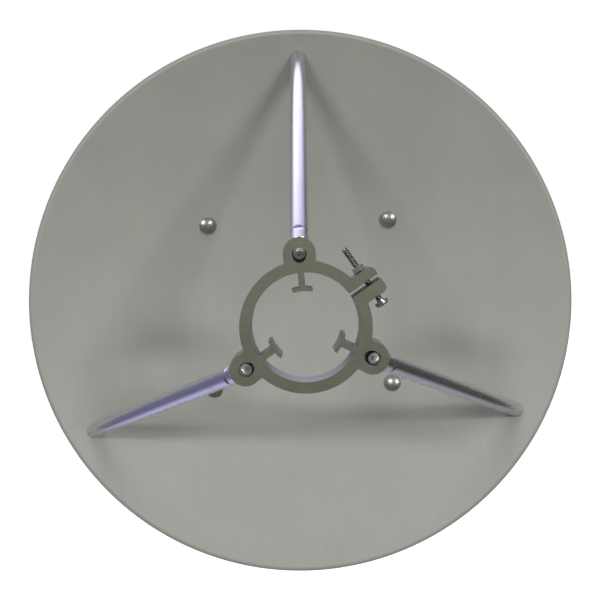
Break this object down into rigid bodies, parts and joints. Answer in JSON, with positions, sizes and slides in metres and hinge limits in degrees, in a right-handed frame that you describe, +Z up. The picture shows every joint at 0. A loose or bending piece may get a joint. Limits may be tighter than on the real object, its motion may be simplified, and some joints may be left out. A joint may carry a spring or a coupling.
{
  "type": "microwave dish antenna",
  "caption": "Small prime-focus microwave dish: a shallow round reflector with a rolled rim, inclined struts to a split feed clamp, and a bolted rear mast bracket.",
  "frame": {"origin": "on the dish axis, on the rear flat face of the mast plate", "axes": "+Z up, -Y the way the dish looks (its axis), +Y out of the back towards the mast, +X to the right as seen from in front"},
  "size_m": [0.4, 0.2304, 0.4],
  "materials": {
    "reflector_paint": "satin light grey paint on aluminium sheet",
    "bright_aluminium": "bright drawn tube",
    "extruded_aluminium": "bare saw-cut extrusion",
    "stainless_steel": "bright fasteners",
    "galvanised_steel": "galvanised"
  },
  "bodies": {
    "root": {"reflector": "reflector_paint", "feed_strut_top": "bright_aluminium", "feed_strut_left": "bright_aluminium", "feed_strut_right": "bright_aluminium", "strut_plug_front_top": "stainless_steel", "strut_plug_front_left": "stainless_steel", "strut_plug_front_right": "stainless_steel", "strut_plug_rear_top": "stainless_steel", "strut_plug_rear_left": "stainless_steel", "strut_plug_rear_right": "stainless_steel", "wedge_washer_top": "stainless_steel", "wedge_washer_left": "stainless_steel", "wedge_washer_right": "stainless_steel", "foot_screw_top": "stainless_steel", "foot_screw_left": "stainless_steel", "foot_screw_right": "stainless_steel", "lobe_screw_top": "stainless_steel", "lobe_screw_left": "stainless_steel", "lobe_screw_right": "stainless_steel", "feed_clamp": "extruded_aluminium", "clamp_bolt": "stainless_steel", "clamp_nut": "stainless_steel", "dish_bolt_upper_left": "stainless_steel", "dish_bolt_upper_right": "stainless_steel", "dish_bolt_lower_left": "stainless_steel", "dish_bolt_lower_right": "stainless_steel", "bolt_washer_upper_left": "stainless_steel", "bolt_washer_upper_right": "stainless_steel", "bolt_washer_lower_left": "stainless_steel", "bolt_washer_lower_right": "stainless_steel", "bolt_nut_upper_left": "stainless_steel", "bolt_nut_upper_right": "stainless_steel", "bolt_nut_lower_left": "stainless_steel", "bolt_nut_lower_right": "stainless_steel", "mast_bracket": "galvanised_steel"}
  },
  "joints": []
}
